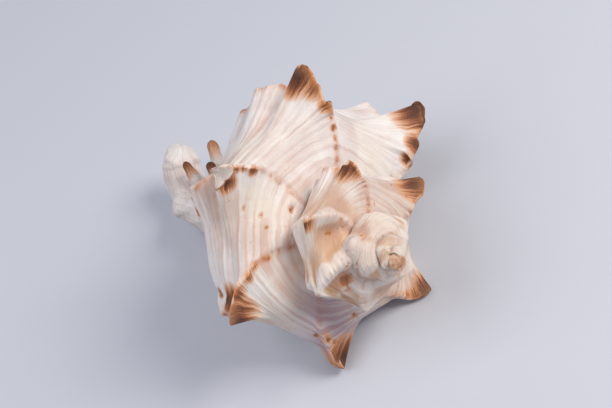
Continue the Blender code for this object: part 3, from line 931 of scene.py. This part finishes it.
def shell_material():
    """All layers of paint, the gloss of the lining, and cords, lines and pits as fine relief."""
    material = bpy.data.materials.new("murex_chalk")
    material.use_nodes = True
    tree = material.node_tree
    skin = Skin(tree)
    paint = chalk_layer(skin)
    for layer in LAYERS:
        paint = layer(skin, paint)
    enamel = blend(between(skin.waver, 0.3, 0.75), LINING_CREAM, LINING_PINK)
    stained = between(skin.streaked_brown, 0.3, 0.8)
    dull = 0.42 + 0.22 * skin.grain + 0.1 * stained - 0.12 * between(skin.patch, 0.5, 0.8)
    relief = (skin.cord_line * 0.6 + skin.fine_line * 0.5 + skin.pause_line * 0.55 + skin.grain * 0.3
              - skin.pits * 0.9 - between(skin.ragged_stain, 0.2, 0.75) * 0.3)
    height = relief * (1 - skin.inside * 0.9) * (1 - skin.old * 0.4)
    varying = {
        "Base Color": blend(skin.inside, paint, enamel),
        "Roughness": dull * (1 - skin.inside) + 0.16 * skin.inside,
        "Coat Weight": skin.inside * 0.6,
        "Normal": height.node("ShaderNodeBump", {"Strength": 0.8, "Distance": BUMP_HEIGHT * MM,
                                                 "Height": height}),
    }
    constant = {"Coat Roughness": 0.12, "Subsurface Weight": 0.12, "Subsurface Radius": (1.0, 0.7, 0.5),
                "Subsurface Scale": GLOW_DEPTH * MM}
    shader = tree.nodes["Principled BSDF"]
    for name, value in varying.items():
        tree.links.new(value.socket, shader.inputs[name])
    for name, value in constant.items():
        shader.inputs[name].default_value = value
    return material


murex_chalk = shell_material()
print("shell material has", len(murex_chalk.node_tree.nodes), "nodes")

# %% [markdown]
# ## Where the brown is
# The tips of the spines are dark brown, and the brown runs back along the cords in streaks. The
# edges of the fans have an orange rim that breaks up into dots. This could be painted on the mesh
# by hand, but a list of places by fan and station stays right when the mesh gets finer. Only the
# places are worked out here, as plain numbers on the mesh; the material turns them into colour.

# %% Brown tips
# Fan, station, millimetres to where the stain ends, strength. A number just below a whole fan
# puts the stain on the newer side of that fan.
BROWN_TIPS = (
    (0, 7.8, 9.5, 1.25), (0, 6.6, 5.0, 0.9), (0, 5.5, 3.5, 0.85), (0, 4.4, 3.5, 0.9),
    (1, 7.8, 9.0, 1.25), (1, 6.2, 5.0, 0.9), (1, 5.0, 4.0, 0.95), (1, 3.4, 1.7, 1.1), (1, 4.0, 1.0, 0.8),
    (2.07, 7.0, 3.5, 1.05), (2, 6.2, 2.0, 0.75), (2, 5.7, 1.8, 0.75), (2, 5.2, 2.6, 0.8),
    (2, 11.0, 1.6, 0.5),
    (3, 8.0, 9.5, 1.25), (3, 9.4, 4.5, 1.0), (2.98, 9.0, 5.5, 1.05), (3, 6.4, 5.0, 0.85),
    (3, 5.0, 3.0, 0.85), (3, 3.7, 1.8, 0.8), (3, 2.7, 1.4, 0.7),
    (4, 8.0, 9.5, 1.2), (4, 9.4, 4.0, 0.8), (4, 6.6, 4.5, 0.9), (4, 5.0, 2.5, 0.7),
    (5, 7.8, 6.0, 1.25), (5, 6.6, 4.0, 0.8), (5, 5.6, 2.2, 0.7), (4.98, 7.8, 5.0, 1.1),
    (6, 7.8, 8.0, 1.2), (6, 6.6, 5.0, 0.95),
    (7, 8.0, 6.0, 1.25), (7, 6.4, 4.0, 0.9), (7, 9.2, 3.0, 0.8),
    (8, 8.0, 3.6, 0.9), (9, 8.0, 1.5, 0.4),
)
# Rows back along a spine that give its direction, strength left on its newer side, and how much
# more the square of a distance beside the spine counts.
HEADING_ROWS = 3
FRONT_SHARE = 0.35
STRETCH = 1.5


def brown_tips():
    """Strength falling to 0 at each reach; a distance beside the spine counts more than along it."""
    brown = np.zeros(wall.shape[:2])
    for fan, station, reach, amount in BROWN_TIPS:
        row, column = row_and_column(fan, station)
        heading = wall[row, column] - wall[row - HEADING_ROWS, column]
        heading /= np.linalg.norm(heading)
        away = (wall - wall[row, column]) / MM
        back = away @ heading
        beside = np.maximum((away ** 2).sum(axis=2) - back ** 2, 0)
        close = np.clip(1 - np.sqrt(beside * STRETCH + back ** 2) / reach, 0, 1)
        newer_side = np.where(last_fan == int(fan), FRONT_SHARE, 0.0)
        side_of_edge = np.where(next_fan == int(fan), 1.0, newer_side)[:, None]
        brown = np.maximum(brown, amount * close * side_of_edge)
    return brown


brown = brown_tips()
print("brown on", round(float((brown > 0.3).mean()) * 100, 1), "% of the wall")

# %% Stains, broken tips, rims and seams
# Single stains away from the tips: fan, station, millimetres to where it ends, strength.
STAINS = (
    (2.01, 3.3, 0.7, 0.8), (2.32, 5.45, 0.8, 0.7), (2.46, 3.4, 0.8, 0.8), (2.62, 2.8, 0.9, 0.8),
    (2.26, 1.3, 1.2, 1.1), (2.11, 13.8, 1.8, 1.1), (8.35, 3.55, 1.3, 0.95), (8.06, 2.8, 1.0, 0.7),
    (9.45, 3.4, 2.2, 1.15), (9.65, 4.4, 1.3, 0.8), (4.46, 3.7, 1.5, 1.0), (3.9, 5.4, 1.1, 1.2),
    (3.92, 5.9, 1.0, 1.1), (4.08, 5.6, 1.2, 1.2), (6.83, 2.3, 0.9, 0.65), (21.9, 1.7, 2.4, 0.7),
    (13.9, 5.4, 1.8, 0.6), (9.06, 2.64, 0.6, 1.0), (14.67, 6.6, 0.6, 1.0), (2.88, 12.3, 1.9, 1.2),
)
# Spine tips that have broken off, with the white chalk open: fan, station, millimetres.
BROKEN_TIPS = ((2.04, 7.75, 3.0), (2.03, 7.0, 2.5), (7.0, 8.3, 1.2))
# Painted lilac shade round one part of the last whorl, where shade falls on the wall.
LILAC_FAN = 4.1
LILAC_SPAN = 0.4
LILAC_RANGE = (0.5, 1.5, 12.0, 3.0)
# How strong the orange rim is on each of the last fans.
FAN_RIMS = (0.5, 1.0, 0.6, 1.0, 0.35, 0.6, 0.7, 0.7, 0.2)
# Millimetres over which the painted shade and dirt of the seams fade.
SEAM_WIDTH = 1.1

stain = np.max([strength * near_place(wall, fan, station, reach)
                for fan, station, reach, strength in STAINS], axis=0)
broken = np.max([near_place(wall, *place) for place in BROKEN_TIPS], axis=0)
# Painted lilac shade: strongest at one fan, within a range of stations.
lilac = np.exp(-((fans_back - LILAC_FAN) / LILAC_SPAN) ** 2) * station_range(*LILAC_RANGE)
seam = np.exp(-to_seam / SEAM_WIDTH)
arc = (fan_growth[next_fan] - fan_growth[last_fan])[:, None] * radius * local_size
before_edge, past_edge = (1 - share) * arc, share * arc
edge = np.minimum(before_edge, past_edge)
rims = np.array(FAN_RIMS + (0.0,) * (fan_count - len(FAN_RIMS)))
rim = np.where(before_edge < past_edge, rims[next_fan][:, None], rims[last_fan][:, None])
print("stains cover", round(float((stain > 0.3).mean()) * 100, 1), "% of the wall")

# %% The whorls
LIP_EDGE = 3.0
rows_after = len(whole) - len(wall)


def with_lip(values, beyond=0.0):
    """Values on the wall, and others on the lip and the lining behind it."""
    return np.concatenate([values, np.broadcast_to(beyond, (rows_after, len(section)))])


front_rows = np.clip(1 - np.arange(rows_after) / (len(front) + 1), 0, 1)
inside = np.concatenate([np.zeros(len(wall) + len(front)), np.linspace(0, 1, len(rolled_lip)),
                         np.ones(len(lining))])
marks = {
    "brown": with_lip(brown, np.outer(front_rows, brown[-1])),
    "stain": with_lip(stain),
    "seam": with_lip(seam),
    "edge": with_lip(edge, np.linspace(0, LIP_EDGE, rows_after)[:, None]),
    "rim": with_lip(rim, rims[0]),
    "hollow": with_lip(hollow),
    "lilac": with_lip(lilac),
    "broken": with_lip(broken),
    "age": with_lip(fans_back / fan_count + np.zeros(len(section))),
    "inside": inside[:, None],
}
growth_map = np.concatenate([growth, np.zeros(rows_after)]) / (2 * np.pi)
grid_object("shell_whorls", whole, marks, section / len(stations), growth_map)

# %% [markdown]
# ## The siphonal canal
# At its far end the wall narrows to a half-open pipe, through which the snail drew water. Each
# growth stage made a new pipe and left the stub of the older one beside it. A curve with a bevel
# would give a plain tube, so a pipe is a grid of rings along a curved path, with a slit along one
# side where its edges nearly meet.

# %% Canals
# Depth below the apex, offset from the axis, outer radius of the pipe.
CANAL_PATH = ((38.0, 0.0, 3.6), (48.0, 0.0, 5.2), (60.0, 0.2, 5.8), (68.0, 0.8, 6.2), (75.5, 1.8, 5.9),
              (81.6, 4.6, 5.2), (85.0, 9.0, 4.6), (85.7, 13.2, 4.2), (84.4, 16.2, 3.2))
OLD_CANAL_PATH = ((56.0, 1.0, 3.2), (64.0, 2.4, 4.0), (71.0, 4.6, 4.0), (76.0, 7.0, 3.4), (78.5, 8.8, 2.4))
CANAL_TURN_ANGLE = 292.0
OLD_CANAL_TURN_ANGLE = 350.0
CANAL_ROWS = 90
CANAL_COLUMNS = 96
CANAL_SEED = 21
OLD_CANAL_SEED = 31
SLIT_ANGLE = 50.0
SLIT_WIDTH = 20.0
SLIT_DEPTH = 0.55
CANAL_RIDGES = 17
CANAL_RIDGE_HEIGHT = 0.05
CANAL_RINGS = 34
CANAL_RING_HEIGHT = 0.22
CANAL_LUMPS = 7
CANAL_LUMP_HEIGHT = 0.5
CANAL_END = 0.12
CANAL_END_LEAST = 0.02
JUST_BEFORE_END = 1.0001


def open_line(points, places):
    """Points on a smooth open curve through the given ones: a cubic between each two."""
    points = np.array(points)
    padded = np.concatenate([[2 * points[0] - points[1]], points, [2 * points[-1] - points[-2]]])
    places = np.clip(places, 0, len(points) - JUST_BEFORE_END)
    start = places.astype(int)
    return cubic(*(padded[start + step] for step in range(4)), (places - start)[:, None])


def on_circle(angle, radius, centre):
    """Two coordinates that go round a circle, so that noise read there closes round a ring."""
    return np.cos(angle) * radius + centre, np.sin(angle) * radius + centre


def rounded_end(along, length, least):
    """1, then a quarter circle over the last length: the root of one less the square of the way."""
    return np.sqrt(np.clip(1 - np.clip((along - 1 + length) / length, 0, 1) ** 2, least, 1))


def rings_round(centre, across, sideways, angle, reach):
    """Rings: each centre plus the reach times cosine and sine along two directions."""
    return (centre[:, None] + (reach * np.cos(angle))[:, :, None] * across
            + (reach * np.sin(angle))[:, :, None] * sideways)


def canal_object(name, path, turn_angle, seed):
    """Rings round the path: a circle with a bell-shaped slit, low ridges and growth rings."""
    along = np.linspace(0, 1, CANAL_ROWS)
    depth, offset, ring = open_line(path, along * (len(path) - 1)).T
    turned = np.radians(turn_angle)
    out, down = np.array((np.cos(turned), np.sin(turned), 0)), np.array((0, 0, -1.0))
    sideways = np.array((-np.sin(turned), np.cos(turned), 0))
    centre = offset[:, None] * out + depth[:, None] * down
    across = np.cross(sideways, np.gradient(centre, axis=0))
    across /= np.linalg.norm(across, axis=1)[:, None]
    angle = np.linspace(0, 2 * np.pi, CANAL_COLUMNS, endpoint=False)
    from_slit = np.degrees(np.angle(np.exp(1j * (angle - np.radians(SLIT_ANGLE)))))
    slit = np.exp(-(from_slit / SLIT_WIDTH) ** 2)
    rows = along[:, None]
    ridges = CANAL_RIDGE_HEIGHT * np.cos(CANAL_RIDGES * angle + 1.5 * noise_field(rows * 3, 0.5, seed))
    round_x, round_y = on_circle(angle, radius=1.5, centre=8)
    rings = CANAL_RING_HEIGHT * noise_field(rows * CANAL_RINGS, round_x, seed + 1)
    lumps = CANAL_LUMP_HEIGHT * noise_field(rows * CANAL_LUMPS + round_y, round_x, seed + 2)
    reach = ring[:, None] * (1 - SLIT_DEPTH * slit) + ridges + rings + lumps
    reach = reach * rounded_end(rows, CANAL_END, CANAL_END_LEAST)
    points = rings_round(centre, across[:, None], -sideways, angle, reach)
    grid_object(name, points * MM, PLAIN_MARKS | {"inside": slit}, angle / (2 * np.pi), along)


canal_object("shell_canal", CANAL_PATH, CANAL_TURN_ANGLE, CANAL_SEED)
canal_object("shell_old_canal", OLD_CANAL_PATH, OLD_CANAL_TURN_ANGLE, OLD_CANAL_SEED)

# %% [markdown]
# ## Spines on the canal
# Three short spines stand on the canal, each the end of a fan that ran down this far. They lean
# the way the fans do and have a brown tip. As lobes of the wall they would stretch its grid to long
# thin faces, so each is a cone of rings of its own, sunk into the shell.

# %% Canal spines
# Root and tip as angle, radius and depth, then root radius, tip radius and strength of the stain.
CANAL_SPINES = (
    ((296.0, 9.0, 65.5), (296.0, 19.3, 68.0), 2.6, 1.2, 0.5),
    ((308.0, 5.0, 72.0), (306.0, 13.8, 78.2), 2.6, 1.0, 0.75),
    ((312.0, 8.0, 63.0), (309.0, 15.6, 65.0), 2.4, 1.0, 0.85),
)
SPINE_ROWS = 36
SPINE_COLUMNS = 48
SPINE_RIDGES = 7
SPINE_RIDGE_HEIGHT = 0.1
SPINE_LUMP_HEIGHT = 0.15
SPINE_TAPER = 1.5
SPINE_END = 0.15
SPINE_END_LEAST = 0.03
SPINE_SEED = 41


def cylinder_place(angle, radius, depth):
    """Point in the shell's own frame from an angle in degrees, a radius and a depth."""
    return np.array((radius * np.cos(np.radians(angle)), radius * np.sin(np.radians(angle)), -depth))


def spine_object(name, root, tip, root_radius, tip_radius, stained, seed):
    """Rings from root to tip: a cone with a rounded end, folded ridges and an uneven outline."""
    start, end = cylinder_place(*root), cylinder_place(*tip)
    along = np.linspace(0, 1, SPINE_ROWS)[:, None]
    heading = (end - start) / np.linalg.norm(end - start)
    side = np.cross(heading, (0, 0, 1.0))
    side /= np.linalg.norm(side)
    angle = np.linspace(0, 2 * np.pi, SPINE_COLUMNS, endpoint=False)
    taper = tip_radius + (root_radius - tip_radius) * (1 - along) ** SPINE_TAPER
    ridges = SPINE_RIDGE_HEIGHT * np.cos(SPINE_RIDGES * angle + 2 * noise_field(along * 2, 0.5, seed))
    round_x, _ = on_circle(angle, radius=1, centre=3)
    lumps = SPINE_LUMP_HEIGHT * noise_field(along * 6, round_x, seed + 1)
    reach = (taper + ridges + lumps) * rounded_end(along, SPINE_END, SPINE_END_LEAST)
    points = rings_round(start + (end - start) * along, side, np.cross(heading, side), angle, reach)
    marks = PLAIN_MARKS | {"brown": stained * np.clip(along * 1.9 - 0.9, 0, 1)}
    grid_object(name, points * MM, marks, angle / (2 * np.pi), along[:, 0])


for number, spine in enumerate(CANAL_SPINES):
    spine_object("canal_spine_%d" % (number + 1), *spine, SPINE_SEED + 3 * number)

# %% [markdown]
# ## The apex
# The snail hatched with the first tiny turns already made. They are worn to a blunt knob, stained
# orange. A plain ball would be too even, so the knob is a low dome of rings with a faint spiral
# and a few lumps, sunk into the first turns.

# %% Apex knob
KNOB_PLACE = (-0.3, 1.0, -2.7)
KNOB_RADIUS = 2.1
KNOB_HEIGHT = 1.6
KNOB_ROWS = 24
KNOB_COLUMNS = 48
KNOB_ARC = 0.49 * np.pi
KNOB_GROOVE = 0.1
KNOB_SPIRAL = 8
KNOB_LUMPS = 0.08
KNOB_SEED = 51


def apex_knob():
    """A dome of rings round the axis: radius and height by cosine and sine, with a spiral groove."""
    rise_angle = np.linspace(0, KNOB_ARC, KNOB_ROWS)[:, None]
    angle = np.linspace(0, 2 * np.pi, KNOB_COLUMNS, endpoint=False)
    groove = KNOB_GROOVE * np.cos(rise_angle * KNOB_SPIRAL + angle) * np.sin(rise_angle * 2)
    round_x, _ = on_circle(angle, radius=1.5, centre=4)
    lumpy = 1 + groove + KNOB_LUMPS * noise_field(rise_angle * 3, round_x, KNOB_SEED)
    ring = KNOB_RADIUS * np.cos(rise_angle) * lumpy
    height = KNOB_HEIGHT * np.sin(rise_angle) * lumpy
    points = np.stack([ring * np.cos(angle), ring * np.sin(angle), height], -1) + np.array(KNOB_PLACE)
    marks = PLAIN_MARKS | {"stain": 0.3 + 0.4 * np.sin(rise_angle), "hollow": 0.3, "age": 0.5}
    grid_object("shell_apex", points * MM, marks, angle / (2 * np.pi), rise_angle[:, 0])


apex_knob()

# %% [markdown]
# ## Floor, light and camera
# The shell lies on a pale sheet, under a warm lamp on the right, a larger and cooler one on the
# left and a pale sky, whose soft light fills the shade as daylight does. The camera stands as in
# the photograph: its distance follows from the size of the shell in the frame, and it is placed
# so that the apex falls on the right pixel.

# %% Stage
# Width of the floor in metres.
FLOOR_SIZE = 3.0
FLOOR_GREY = (0.6, 0.62, 0.68, 1)
floor_mesh = bpy.data.meshes.new("floor")
half = FLOOR_SIZE / 2
floor_corners = [(-half, -half, 0), (half, -half, 0), (half, half, 0), (-half, half, 0)]
floor_mesh.from_pydata(floor_corners, [], [(0, 1, 2, 3)])
floor = bpy.data.objects.new("floor", floor_mesh)
bpy.context.scene.collection.objects.link(floor)
floor_paint = bpy.data.materials.new("floor")
floor_paint.use_nodes = True
floor_paint.node_tree.nodes["Principled BSDF"].inputs["Base Color"].default_value = FLOOR_GREY
floor_mesh.materials.append(floor_paint)
print("floor is", FLOOR_SIZE, "m wide")

# %% Camera
IMAGE = (612, 408)
LENS = 100.0
SENSOR = 36.0
PIXELS_PER_MM = 4.85
APEX_PIXEL = (404.7, 258.0)
CAMERA_RISE = 45.9
CAMERA_ROLL = 29.8
focal = IMAGE[0] * LENS / SENSOR
distance = focal / PIXELS_PER_MM
camera_turn = (Matrix.Rotation(np.radians(90 - CAMERA_RISE), 4, "X")
               @ Matrix.Rotation(np.radians(-CAMERA_ROLL), 4, "Z"))
apex_seen = Vector(((APEX_PIXEL[0] - IMAGE[0] / 2) / PIXELS_PER_MM,
                    (IMAGE[1] / 2 - APEX_PIXEL[1]) / PIXELS_PER_MM, -distance)) * MM
camera = bpy.data.objects.new("camera", bpy.data.cameras.new("camera"))
bpy.context.scene.collection.objects.link(camera)
camera.data.lens = LENS
camera.data.sensor_width = SENSOR
camera.data.clip_start = 10 * MM
camera.matrix_world = Matrix.Translation(APEX_PLACE - camera_turn @ apex_seen) @ camera_turn
bpy.context.scene.camera = camera
print("camera at", [round(value / MM) for value in camera.matrix_world.translation], "mm")

# %% Light
SKY = (0.82, 0.84, 0.95, 1)
SKY_STRENGTH = 0.31


def lamp(name, place, watts, width, tint):
    """A square lamp that faces the shell, with its place and width in metres."""
    data = bpy.data.lights.new(name, "AREA")
    data.energy = watts
    data.size = width
    data.color = tint
    item = bpy.data.objects.new(name, data)
    bpy.context.scene.collection.objects.link(item)
    item.location = place
    item.rotation_euler = (-Vector(place)).to_track_quat("-Z", "Y").to_euler()
    print(name, "lamp has", watts, "watts")


lamp("key", place=(0.4, -0.18, 0.42), watts=2.8, width=0.3, tint=(1.0, 0.96, 0.91))
lamp("fill", place=(-0.36, 0.03, 0.51), watts=1.8, width=0.5, tint=(0.94, 0.95, 1.0))
world = bpy.data.worlds.new("studio")
bpy.context.scene.world = world
world.use_nodes = True
sky = world.node_tree.nodes["Background"]
sky.inputs["Color"].default_value = SKY
sky.inputs["Strength"].default_value = SKY_STRENGTH
bpy.context.scene.view_settings.view_transform = "Standard"
